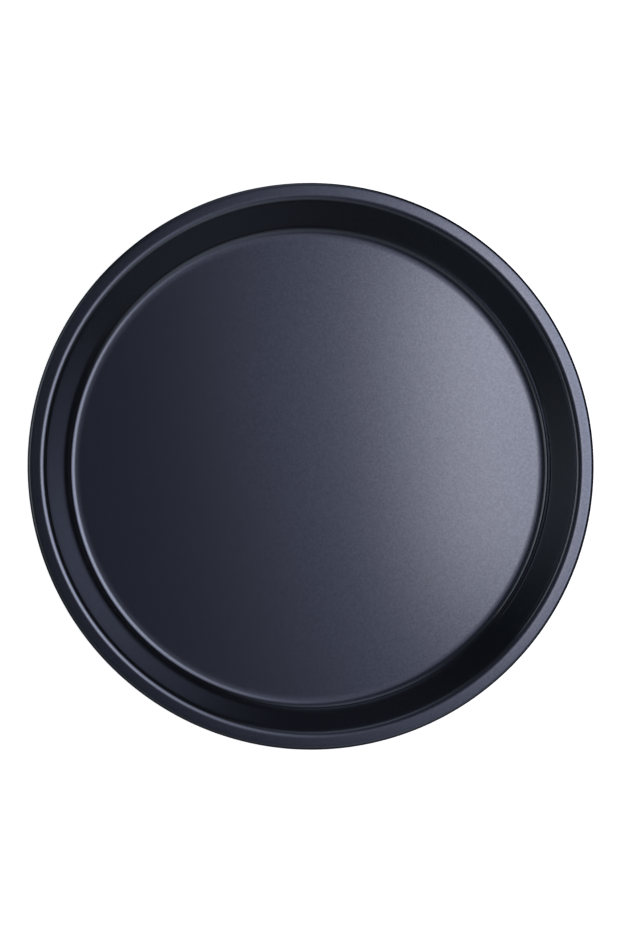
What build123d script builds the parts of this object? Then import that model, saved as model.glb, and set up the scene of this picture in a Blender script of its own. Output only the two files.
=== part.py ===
from build123d import *

# Round pizza pan pressed from coil-coated steel sheet, with a wire-stiffened rolled rim.
#
# One blank is drawn into a flat floor, a rounded floor corner that eases into a leaning wall, a
# rounded shoulder and a flat rim. Its edge is then rolled outward and under, round a steel wire.
# The sheet has a nonstick coating on its upper side and a thinner back coating on its lower side.
# Both were on the sheet before it was pressed, so they follow every bend and stop with the steel
# at the lip.
#
# Units are millimetres. The origin is the middle of the underside, at the surface that the pan
# stands on, and +Z points up out of the pan.

import os
from math import cos, radians, sin, tan

# Overall sizes, measured over the coatings.
rim_diameter = 330.0
pan_height = 30.0

# Sheet and coatings.
sheet_thickness = 0.6
nonstick_thickness = 0.04
back_coat_thickness = 0.03

# Section of the pressing. The radii are those of the steel's upper side.
floor_lead_in_radius = 28.0
floor_lead_in_degrees = 6.8
floor_corner_radius = 5.8
floor_corner_end_degrees = 40.0
wall_lead_in_radius = 10.6
wall_slope_degrees = 65.2
shoulder_radius = 5.0
rim_land_width = 4.4

# Rolled edge and its wire.
wire_diameter = 2.8
wire_clearance = 0.18
roll_wrap_degrees = 300.0

# Radii of the roll, from the wire outward, and levels of the steel's upper side.
wire_radius = wire_diameter / 2
roll_radius = wire_radius + wire_clearance + back_coat_thickness + sheet_thickness
floor_level = back_coat_thickness + sheet_thickness
rim_level = pan_height - nonstick_thickness
roll_centre_radius = rim_diameter / 2 - nonstick_thickness - roll_radius
roll_centre_level = rim_level - roll_radius

# The wall takes the height that the bends leave, and the floor takes the width.
lead_in = radians(floor_lead_in_degrees)
corner_end = radians(floor_corner_end_degrees)
slope = radians(wall_slope_degrees)
lead_in_rise = floor_lead_in_radius * (1 - cos(lead_in))
corner_rise = floor_corner_radius * (cos(lead_in) - cos(corner_end))
wall_lead_in_rise = wall_lead_in_radius * (cos(corner_end) - cos(slope))
shoulder_rise = shoulder_radius * (1 - cos(slope))
bends_rise = lead_in_rise + corner_rise + wall_lead_in_rise + shoulder_rise
wall_rise = rim_level - floor_level - bends_rise
lead_in_width = floor_lead_in_radius * sin(lead_in)
corner_width = floor_corner_radius * (sin(corner_end) - sin(lead_in))
wall_lead_in_width = wall_lead_in_radius * (sin(slope) - sin(corner_end))
shoulder_width = shoulder_radius * sin(slope)
bends_width = lead_in_width + corner_width + wall_lead_in_width + shoulder_width
side_width = bends_width + wall_rise / tan(slope)
floor_radius = roll_centre_radius - rim_land_width - side_width

# The steel's upper side from the axis to the lip: a run is (length, 0), and a turn is (radius, degrees)
# with positive degrees where the sheet turns upward.
section = [
    (floor_radius, 0),
    (floor_lead_in_radius, floor_lead_in_degrees),
    (floor_corner_radius, floor_corner_end_degrees - floor_lead_in_degrees),
    (wall_lead_in_radius, wall_slope_degrees - floor_corner_end_degrees),
    (wall_rise / sin(slope), 0),
    (shoulder_radius, -wall_slope_degrees),
    (rim_land_width, 0),
    (roll_radius, -roll_wrap_degrees),
]


def arc_point(start, heading, side, radius, angle):
    """The point reached from start after angle of an arc that turns to its side, 1 up or -1 down."""
    across = sin(heading + side * angle) - sin(heading)
    along = cos(heading) - cos(heading + side * angle)
    return (start[0] + side * radius * across, start[1] + side * radius * along)


def offset_section(offset):
    """The edges of the section moved sideways by offset, up out of the pan, and the place of its lip."""
    heading = 0.0
    place = (0.0, floor_level + offset)
    edges = []
    for size, degrees in section:
        if degrees == 0:
            end = (place[0] + size * cos(heading), place[1] + size * sin(heading))
            edges.append(Line(place, end))
        else:
            side = 1 if degrees > 0 else -1
            radius = size - side * offset
            turn = radians(abs(degrees))
            middle = arc_point(place, heading, side, radius, turn / 2)
            end = arc_point(place, heading, side, radius, turn)
            edges.append(ThreePointArc(place, middle, end))
            heading += side * turn
        place = end
    return edges, place


def layer(lower, upper):
    """The solid between two offsets of the section, spun round the pan's axis."""
    lower_edges, lower_lip = offset_section(lower)
    upper_edges, upper_lip = offset_section(upper)
    axis_edge = Line((0.0, floor_level + lower), (0.0, floor_level + upper))
    lip_edge = Line(lower_lip, upper_lip)
    outline = Wire([axis_edge, *upper_edges, lip_edge, *lower_edges])
    return revolve(Plane.XZ * make_face(outline.edges()), Axis.Z)


def pressed_steel_pan():
    """The bare steel pressing, from the floor to the lip of the roll."""
    return layer(-sheet_thickness, 0.0)


def nonstick_coating():
    """The coating that food meets, over the floor, the wall, the rim and the outside of the roll."""
    return layer(0.0, nonstick_thickness)


def back_coating():
    """The coating of the underside, which the pan stands on and which lines the roll."""
    return layer(-sheet_thickness - back_coat_thickness, -sheet_thickness)


def rim_wire():
    """The steel wire ring that the sheet's edge is rolled round."""
    return Pos(0.0, 0.0, roll_centre_level) * Torus(roll_centre_radius, wire_radius)


PARTS = {
    "pressed_steel_pan": pressed_steel_pan,
    "nonstick_coating": nonstick_coating,
    "back_coating": back_coating,
    "rim_wire": rim_wire,
}

os.makedirs("parts", exist_ok=True)
for name, make in PARTS.items():
    export_step(make(), os.path.join("parts", name + ".step"))
print("flat floor radius", round(floor_radius, 2), "wall rise", round(wall_rise, 2))
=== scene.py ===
from math import cos, pi, radians, sin, tan

import bpy
from mathutils import Matrix, Vector


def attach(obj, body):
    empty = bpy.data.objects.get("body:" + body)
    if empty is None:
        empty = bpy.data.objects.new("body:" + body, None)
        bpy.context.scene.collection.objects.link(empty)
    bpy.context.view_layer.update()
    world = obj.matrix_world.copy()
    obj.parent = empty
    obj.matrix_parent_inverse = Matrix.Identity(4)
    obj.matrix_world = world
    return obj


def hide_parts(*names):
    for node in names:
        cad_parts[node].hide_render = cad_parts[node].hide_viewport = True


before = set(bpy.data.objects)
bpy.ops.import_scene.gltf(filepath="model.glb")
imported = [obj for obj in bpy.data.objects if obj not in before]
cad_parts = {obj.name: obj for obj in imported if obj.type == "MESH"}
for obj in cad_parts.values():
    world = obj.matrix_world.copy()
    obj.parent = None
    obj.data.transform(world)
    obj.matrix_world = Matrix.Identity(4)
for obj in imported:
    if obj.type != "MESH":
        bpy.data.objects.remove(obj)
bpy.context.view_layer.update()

# Lengths are in millimetres, and mm turns them into Blender's metres.
mm = 0.001

# The pressing, as the solids have it: its own sizes, sheet and coatings, bends, and rolled edge.
rim_diameter = 330.0
pan_height = 30.0
sheet_thickness = 0.6
nonstick_thickness = 0.04
back_coat_thickness = 0.03
floor_lead_in_radius = 28.0
floor_lead_in_degrees = 6.8
floor_corner_radius = 5.8
floor_corner_end_degrees = 40.0
wall_lead_in_radius = 10.6
wall_slope_degrees = 65.2
shoulder_radius = 5.0
rim_land_width = 4.4
wire_diameter = 2.8
wire_clearance = 0.18
roll_wrap_degrees = 300.0

# How finely the pieces are spun and the wire is rounded.
spin_steps = 384
wire_steps = 32
sharp_edge_degrees = 35.0

# Colours of the finishes and the studio, as linear red, green and blue.
nonstick_dark = (0.134, 0.141, 0.159)
nonstick_light = (0.176, 0.185, 0.209)
back_coat_dark = (0.05, 0.052, 0.06)
back_coat_light = (0.075, 0.078, 0.088)
steel_light = (0.56, 0.57, 0.58)
wire_light = (0.62, 0.62, 0.63)
floor_color = (0.85, 0.85, 0.85)
floor_glow = (1.0, 1.0, 1.0)
studio_color = (0.0145, 0.0165, 0.0175)

# The darkest streak of bare steel, as a share of its lightest, and the share of noise values that
# a grain spreads between its lowest and its highest.
dark_streak_share = 0.72
noise_low_share = 0.3
noise_high_share = 0.7

# Every lamp's distance from the pan, how far its edge fades each way as a share of its edge size,
# the share of its level that each of its two directions gives, and the power that a square metre
# of it needs for a radiance of 1.
lamp_distance = 900.0
fade_share = 1.75
direction_share = 0.5
watts_per_radiance = 4

# The floor ends in a sweep up to a wall, and the pan stands just clear of it.
floor_reach = 3000.0
sweep_radius = 1000.0
sweep_steps = 12
wall_top = 5000.0
contact_gap = 0.05

# What follows for the pressing.
wire_radius = wire_diameter / 2
roll_radius = wire_radius + wire_clearance + back_coat_thickness + sheet_thickness
floor_level = back_coat_thickness + sheet_thickness
rim_level = pan_height - nonstick_thickness
roll_centre_radius = rim_diameter / 2 - nonstick_thickness - roll_radius
roll_centre_level = rim_level - roll_radius
lead_in = radians(floor_lead_in_degrees)
corner_end = radians(floor_corner_end_degrees)
slope = radians(wall_slope_degrees)
lead_in_rise = floor_lead_in_radius * (1 - cos(lead_in))
corner_rise = floor_corner_radius * (cos(lead_in) - cos(corner_end))
wall_lead_in_rise = wall_lead_in_radius * (cos(corner_end) - cos(slope))
shoulder_rise = shoulder_radius * (1 - cos(slope))
bends_rise = lead_in_rise + corner_rise + wall_lead_in_rise + shoulder_rise
wall_rise = rim_level - floor_level - bends_rise
lead_in_width = floor_lead_in_radius * sin(lead_in)
corner_width = floor_corner_radius * (sin(corner_end) - sin(lead_in))
wall_lead_in_width = wall_lead_in_radius * (sin(slope) - sin(corner_end))
shoulder_width = shoulder_radius * sin(slope)
bends_width = lead_in_width + corner_width + wall_lead_in_width + shoulder_width
side_width = bends_width + wall_rise / tan(slope)
floor_radius = roll_centre_radius - rim_land_width - side_width

# The steel's upper side from the axis to the lip: (length, 0, steps) runs straight, and
# (radius, degrees, steps) turns, upward where the degrees are positive.
section = [
    (floor_radius, 0, 18),
    (floor_lead_in_radius, floor_lead_in_degrees, 8),
    (floor_corner_radius, floor_corner_end_degrees - floor_lead_in_degrees, 8),
    (wall_lead_in_radius, wall_slope_degrees - floor_corner_end_degrees, 6),
    (wall_rise / sin(slope), 0, 6),
    (shoulder_radius, -wall_slope_degrees, 13),
    (rim_land_width, 0, 3),
    (roll_radius, -roll_wrap_degrees, 40),
]


def arc_point(start, heading, side, radius, angle):
    """The point reached from start after angle of an arc that turns to its side, 1 up or -1 down."""
    across = sin(heading + side * angle) - sin(heading)
    along = cos(heading) - cos(heading + side * angle)
    return (start[0] + side * radius * across, start[1] + side * radius * along)


def section_points(offset):
    """Points of the section moved sideways by offset, up out of the pan, from the axis to the lip."""
    heading = 0.0
    place = (0.0, floor_level + offset)
    points = [place]
    for size, degrees, steps in section:
        start = place
        side = 1 if degrees > 0 else -1
        radius = size - side * offset
        turn = radians(abs(degrees))
        for step in range(1, steps + 1):
            share = step / steps
            if degrees:
                place = arc_point(start, heading, side, radius, turn * share)
            else:
                reach = size * share
                place = (start[0] + reach * cos(heading), start[1] + reach * sin(heading))
            points.append(place)
        heading += side * turn
    return points


def spun_piece(name, outline, closed):
    """A mesh of the outline, in millimetres, spun round the axis. Points on the axis stay single."""
    vertices = []
    rings = []
    for radius, level in outline:
        on_axis = radius == 0.0
        count = 1 if on_axis else spin_steps
        ring = []
        for step in range(count):
            angle = 2 * pi * step / spin_steps
            ring.append(len(vertices))
            vertices.append((radius * cos(angle) * mm, radius * sin(angle) * mm, level * mm))
        rings.append(ring)
    pairs = list(zip(rings, rings[1:]))
    if closed:
        pairs.append((rings[-1], rings[0]))
    faces = []
    for inner, outer in pairs:
        for step in range(spin_steps):
            following = (step + 1) % spin_steps
            if len(inner) == 1:
                faces.append((inner[0], outer[step], outer[following]))
            elif len(outer) == 1:
                faces.append((inner[step], outer[0], inner[following]))
            else:
                faces.append((inner[step], outer[step], outer[following], inner[following]))
    mesh = bpy.data.meshes.new(name)
    mesh.from_pydata(vertices, [], faces)
    mesh.validate()
    mesh.shade_smooth()
    mesh.set_sharp_from_angle(angle=radians(sharp_edge_degrees))
    piece = bpy.data.objects.new(name, mesh)
    bpy.context.scene.collection.objects.link(piece)
    return piece


def spun_layer(name, lower, upper):
    """The sheet's layer between two offsets of the section. Its outline starts and ends on the axis."""
    outline = section_points(lower) + section_points(upper)[::-1]
    return spun_piece(name, outline, closed=False)


def spun_wire(name):
    """The wire ring that the edge is rolled round."""
    outline = []
    for step in range(wire_steps):
        angle = -2 * pi * step / wire_steps
        radius = roll_centre_radius - wire_radius * cos(angle)
        outline.append((radius, roll_centre_level + wire_radius * sin(angle)))
    return spun_piece(name, outline, closed=True)


def new_material(name):
    """A material, its node tree and its Principled shader."""
    made = bpy.data.materials.new(name)
    made.use_nodes = True
    return made, made.node_tree, made.node_tree.nodes["Principled BSDF"]


def add_node(tree, kind, inputs=None, **settings):
    """A node with its settings and inputs. An input that is a socket is linked."""
    node = tree.nodes.new(kind)
    for name, value in settings.items():
        setattr(node, name, value)
    for name, value in (inputs or {}).items():
        if isinstance(value, bpy.types.NodeSocket):
            tree.links.new(value, node.inputs[name])
        else:
            node.inputs[name].default_value = value
    return node


def worked_out(tree, operation, first, second):
    """The result of an operation on two values."""
    return add_node(tree, "ShaderNodeMath", {0: first, 1: second}, operation=operation).outputs["Value"]


def mapped(tree, value, source, target, **settings):
    """The value, moved from the source range to the target range."""
    inputs = {
        "Value": value, "From Min": source[0], "From Max": source[1],
        "To Min": target[0], "To Max": target[1],
    }
    return add_node(tree, "ShaderNodeMapRange", inputs, **settings).outputs["Result"]


def object_place(tree):
    """The shaded point, in the piece's own coordinates."""
    return add_node(tree, "ShaderNodeTexCoord").outputs["Object"]


def grain(tree, place, size, detail, low=0.0, high=1.0):
    """Noise with grains of the given size in millimetres, spread between low and high."""
    inputs = {"Vector": place, "Scale": 1 / (size * mm), "Detail": detail}
    noise = add_node(tree, "ShaderNodeTexNoise", inputs).outputs["Fac"]
    return mapped(tree, noise, (noise_low_share, noise_high_share), (low, high))


def two_tone(tree, share, dark, light):
    """A colour between dark and light."""
    mix = add_node(tree, "ShaderNodeMix", {"Factor": share}, data_type="RGBA")
    mix.inputs["A"].default_value = (*dark, 1)
    mix.inputs["B"].default_value = (*light, 1)
    return mix.outputs["Result"]


def finish_surface(tree, shader, color, roughness, relief, metallic, strength, depth):
    """The shader's colour and gloss, and a relief of the given depth in millimetres."""
    inputs = {"Height": relief, "Strength": strength, "Distance": depth * mm}
    bump = add_node(tree, "ShaderNodeBump", inputs)
    tree.links.new(color, shader.inputs["Base Color"])
    tree.links.new(roughness, shader.inputs["Roughness"])
    shader.inputs["Metallic"].default_value = metallic
    tree.links.new(bump.outputs["Normal"], shader.inputs["Normal"])


def nonstick_material():
    """Satin blue-black coating with a fine metallic grain."""
    made, tree, shader = new_material("nonstick")
    place = object_place(tree)
    tone = grain(tree, place, size=1.1, detail=3.0)
    color = two_tone(tree, tone, nonstick_dark, nonstick_light)
    roughness = grain(tree, place, size=1.6, detail=3.0, low=0.108, high=0.124)
    relief = grain(tree, place, size=0.9, detail=2.0)
    finish_surface(tree, shader, color, roughness, relief, metallic=0.94, strength=0.25, depth=0.004)
    return made


def back_coat_material():
    """Plainer satin black coating of the underside."""
    made, tree, shader = new_material("back_coat")
    place = object_place(tree)
    tone = grain(tree, place, size=1.2, detail=3.0)
    color = two_tone(tree, tone, back_coat_dark, back_coat_light)
    roughness = grain(tree, place, size=3.0, detail=4.0, low=0.34, high=0.42)
    relief = grain(tree, place, size=1.5, detail=3.0)
    finish_surface(tree, shader, color, roughness, relief, metallic=0.7, strength=0.5, depth=0.01)
    return made


def steel_material(name, light, streak_length, streak_width):
    """Bare steel with fine streaks of the given size in millimetres, which run round the axis."""
    made, tree, shader = new_material(name)
    parts = add_node(tree, "ShaderNodeSeparateXYZ", {"Vector": object_place(tree)}).outputs
    flat = add_node(tree, "ShaderNodeCombineXYZ", {"X": parts["X"], "Y": parts["Y"]}).outputs["Vector"]
    radius = add_node(tree, "ShaderNodeVectorMath", {0: flat}, operation="LENGTH").outputs["Value"]
    angle = worked_out(tree, "ARCTAN2", parts["Y"], parts["X"])
    unrolled = {
        "X": worked_out(tree, "MULTIPLY", angle, roll_centre_radius / streak_length),
        "Y": worked_out(tree, "MULTIPLY", radius, 1 / (streak_width * mm)),
        "Z": worked_out(tree, "MULTIPLY", parts["Z"], 1 / (streak_width * mm)),
    }
    place = add_node(tree, "ShaderNodeCombineXYZ", unrolled).outputs["Vector"]
    # A streak is one unit of this place, which the grain takes for a metre.
    streaks = grain(tree, place, size=1 / mm, detail=3.0)
    dark = [channel * dark_streak_share for channel in light]
    color = two_tone(tree, streaks, dark, light)
    roughness = mapped(tree, streaks, (0.0, 1.0), (0.38, 0.24))
    finish_surface(tree, shader, color, roughness, streaks, metallic=1.0, strength=0.4, depth=0.01)
    return made


def dress(piece, node, material):
    """piece stands for the CAD node and takes its finish."""
    piece.data.materials.append(material)
    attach(piece, "root")
    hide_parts(node)


def make_nonstick_skin():
    """The coating of the sheet's upper side."""
    piece = spun_layer("nonstick_skin", 0.0, nonstick_thickness)
    dress(piece, "nonstick_coating", nonstick_material())


def make_steel_pressing():
    """The bare sheet, seen only at its cut lip."""
    piece = spun_layer("steel_pressing", -sheet_thickness, 0.0)
    material = steel_material("bare_steel", steel_light, streak_length=6.0, streak_width=0.15)
    dress(piece, "pressed_steel_pan", material)


def make_back_skin():
    """The thinner coating of the sheet's lower side."""
    piece = spun_layer("back_skin", -sheet_thickness - back_coat_thickness, -sheet_thickness)
    dress(piece, "back_coating", back_coat_material())


def make_wire_ring():
    """The wire in the rolled edge."""
    piece = spun_wire("wire_ring")
    material = steel_material("bright_wire", wire_light, streak_length=14.0, streak_width=0.2)
    dress(piece, "rim_wire", material)


def edge_share(tree, reach, half, edge):
    """How bright a lamp still is at reach metres from its middle line, with a soft edge round half."""
    fade = fade_share * edge * mm
    ends = (half * mm + fade, half * mm - fade)
    shares = []
    for side in (1, -1):
        signed = worked_out(tree, "MULTIPLY", reach, side)
        shares.append(mapped(tree, signed, ends, (0.0, 1.0), interpolation_type="SMOOTHSTEP"))
    return worked_out(tree, "MULTIPLY", shares[0], shares[1])


def lamp_pattern(tree, sizes, lit_sizes, edge, slants):
    """How bright each spot of a lamp is, from its whole sizes in metres and its lit ones."""
    spot = add_node(tree, "ShaderNodeNewGeometry").outputs["Parametric"]
    parts = add_node(tree, "ShaderNodeSeparateXYZ", {"Vector": spot}).outputs
    shares = []
    levels = []
    for axis, size, lit_size, slant in zip("XY", sizes, lit_sizes, slants):
        half = lit_size / 2
        reach = mapped(tree, parts[axis], (0.0, 1.0), (-size / 2, size / 2))
        shares.append(edge_share(tree, reach, half, edge))
        ends = (direction_share - slant, direction_share + slant)
        levels.append(mapped(tree, reach, (-half * mm, half * mm), ends, clamp=False))
    share = worked_out(tree, "MULTIPLY", shares[0], shares[1])
    level = worked_out(tree, "MAXIMUM", worked_out(tree, "ADD", levels[0], levels[1]), 0.0)
    return worked_out(tree, "MULTIPLY", share, level)


def soft_lamp(
    name, azimuth, elevation, width, height, edge, radiance, tint, roll=0.0, leaning=0.0, rising=0.0,
):
    """A soft-edged panel that faces the pan. leaning and rising brighten it towards its side and top."""
    turn = radians(azimuth)
    lift = radians(elevation)
    outward = Vector((cos(turn) * cos(lift), sin(turn) * cos(lift), sin(lift)))
    sideways = Vector((-sin(turn), cos(turn), 0.0))
    upward = outward.cross(sideways)
    rolled = Matrix.Rotation(radians(roll), 3, outward)
    axes = Matrix((rolled @ sideways, rolled @ upward, outward)).transposed()
    margin = 2 * fade_share * edge
    lamp = bpy.data.lights.new(name, "AREA")
    lamp.shape = "RECTANGLE"
    lamp.size = (width + margin) * mm
    lamp.size_y = (height + margin) * mm
    lamp.energy = radiance * watts_per_radiance * lamp.size * lamp.size_y
    lamp.color = tint
    lamp.use_nodes = True
    tree = lamp.node_tree
    level = lamp_pattern(tree, (lamp.size, lamp.size_y), (width, height), edge, (leaning, rising))
    tree.links.new(level, tree.nodes["Emission"].inputs["Strength"])
    shown = bpy.data.objects.new(name, lamp)
    shown.matrix_world = Matrix.Translation(outward * lamp_distance * mm) @ axes.to_4x4()
    shown.visible_camera = False
    bpy.context.scene.collection.objects.link(shown)


def make_lights():
    """The studio's soft panels, the brightest high to the right of the pan."""
    soft_lamp(
        "key_lamp", azimuth=25.6, elevation=63.5, width=653, height=480, edge=240,
        radiance=1.56, tint=(0.96, 1.0, 1.24), roll=-14.4, leaning=-0.11, rising=-0.43,
    )
    soft_lamp(
        "overhead_lamp", azimuth=349.6, elevation=88, width=584, height=174, edge=741,
        radiance=0.52, tint=(0.96, 1.0, 1.56), roll=-20.9, leaning=0.28, rising=-0.09,
    )
    soft_lamp(
        "near_lamp", azimuth=300.6, elevation=30.8, width=472, height=542, edge=363,
        radiance=0.59, tint=(0.91, 1.0, 1.14), roll=14, leaning=0.14, rising=0.21,
    )
    soft_lamp(
        "far_lamp", azimuth=95.1, elevation=21.3, width=20, height=449, edge=319,
        radiance=1.22, tint=(0.9, 1.0, 1.24), rising=-0.32,
    )
    soft_lamp(
        "near_left_lamp", azimuth=224.5, elevation=13.5, width=541, height=237, edge=478,
        radiance=0.4, tint=(0.87, 1.0, 1.1), roll=-2.4, leaning=0.26, rising=0.55,
    )
    soft_lamp(
        "top_lamp", azimuth=21.4, elevation=76.4, width=341, height=84, edge=55,
        radiance=1.03, tint=(1.06, 1.0, 0.94), roll=-17.3, leaning=0.08, rising=-0.28,
    )
    soft_lamp(
        "left_lamp", azimuth=174.2, elevation=26.5, width=425, height=121, edge=216,
        radiance=0.71, tint=(0.96, 1.0, 1.02), roll=2.9, leaning=-0.04, rising=0.52,
    )
    soft_lamp(
        "far_left_lamp", azimuth=147.2, elevation=45.4, width=471, height=226, edge=225,
        radiance=0.15, tint=(0.71, 1.0, 1.21), roll=9.4, rising=-0.29,
    )
    soft_lamp(
        "low_left_lamp", azimuth=166.3, elevation=-3.2, width=609, height=20, edge=91,
        radiance=0.91, tint=(0.92, 1.0, 1.28), roll=2.6, leaning=-0.22, rising=0.19,
    )
    soft_lamp(
        "left_strip_lamp", azimuth=165.5, elevation=26.6, width=880, height=118, edge=13,
        radiance=0.49, tint=(1.0, 1.0, 1.08), roll=-3,
    )
    soft_lamp(
        "rim_lamp", azimuth=8, elevation=62, width=640, height=140, edge=60,
        radiance=0.6, tint=(1.0, 1.0, 1.0),
    )


def make_floor():
    """A plain white floor, with some light of its own like a lit table's, and its backdrop."""
    sweep = []
    for step in range(sweep_steps + 1):
        angle = pi / 2 * step / sweep_steps
        rise = sweep_radius * (1 - cos(angle))
        sweep.append((floor_reach + sweep_radius * sin(angle), rise - contact_gap))
    sweep.append((floor_reach + sweep_radius, wall_top))
    floor = spun_piece("floor", [(0.0, -contact_gap), (floor_reach, -contact_gap)], closed=False)
    backdrop = spun_piece("backdrop", sweep, closed=False)
    # The backdrop adds no diffuse light, and neither piece shows in the pan's reflections.
    backdrop.visible_diffuse = False
    made, _, shader = new_material("floor")
    shader.inputs["Base Color"].default_value = (*floor_color, 1)
    shader.inputs["Roughness"].default_value = 1.0
    shader.inputs["Specular IOR Level"].default_value = 0.0
    shader.inputs["Emission Color"].default_value = (*floor_glow, 1)
    shader.inputs["Emission Strength"].default_value = 0.95
    for piece in (floor, backdrop):
        piece.data.materials.append(made)
        piece.visible_glossy = False


def make_world():
    """A dim studio round the lamps, with colours shown as they are."""
    world = bpy.data.worlds.new("studio")
    world.use_nodes = True
    world.node_tree.nodes["Background"].inputs["Color"].default_value = (*studio_color, 1)
    bpy.context.scene.world = world
    bpy.context.scene.view_settings.view_transform = "Standard"


def make_camera():
    """The photograph's view, from almost straight above. It is framed on the rim's outline."""
    image_width = 620
    image_height = 930
    outline_centre_px = Vector((310.56, 466.33))
    outline_radius_px = 283.3
    camera_place = Vector((-104.7, -60.3, 1642.0)) * mm
    rim_middle = Vector((0.0, 0.0, roll_centre_level)) * mm
    backward = (camera_place - rim_middle).normalized()
    rightward = Vector((0, 1, 0)).cross(backward).normalized()
    upward = backward.cross(rightward)
    across = []
    along = []
    for step in range(spin_steps):
        angle = 2 * pi * step / spin_steps
        rim_point = rim_middle + Vector((cos(angle), sin(angle), 0)) * rim_diameter / 2 * mm
        seen = rim_point - camera_place
        across.append(seen.dot(rightward) / -seen.dot(backward))
        along.append(seen.dot(upward) / -seen.dot(backward))
    half_width = (max(across) - min(across)) / 2
    half_height = (max(along) - min(along)) / 2
    pixels_per_slope = outline_radius_px / (half_width * half_height) ** 0.5
    view = bpy.data.cameras.new("camera")
    view.sensor_fit = "AUTO"
    view.sensor_width = 36.0
    view.lens = view.sensor_width * pixels_per_slope / image_height
    centre_across = (max(across) + min(across)) / 2 * pixels_per_slope
    centre_along = (max(along) + min(along)) / 2 * pixels_per_slope
    view.shift_x = (centre_across - outline_centre_px.x + image_width / 2) / image_height
    view.shift_y = (centre_along + outline_centre_px.y - image_height / 2) / image_height
    axes = Matrix((rightward, upward, backward)).transposed()
    camera = bpy.data.objects.new("camera", view)
    camera.matrix_world = Matrix.Translation(camera_place) @ axes.to_4x4()
    bpy.context.scene.collection.objects.link(camera)
    bpy.context.scene.camera = camera


make_camera()
make_world()
make_lights()
make_floor()
make_nonstick_skin()
make_steel_pressing()
make_back_skin()
make_wire_ring()
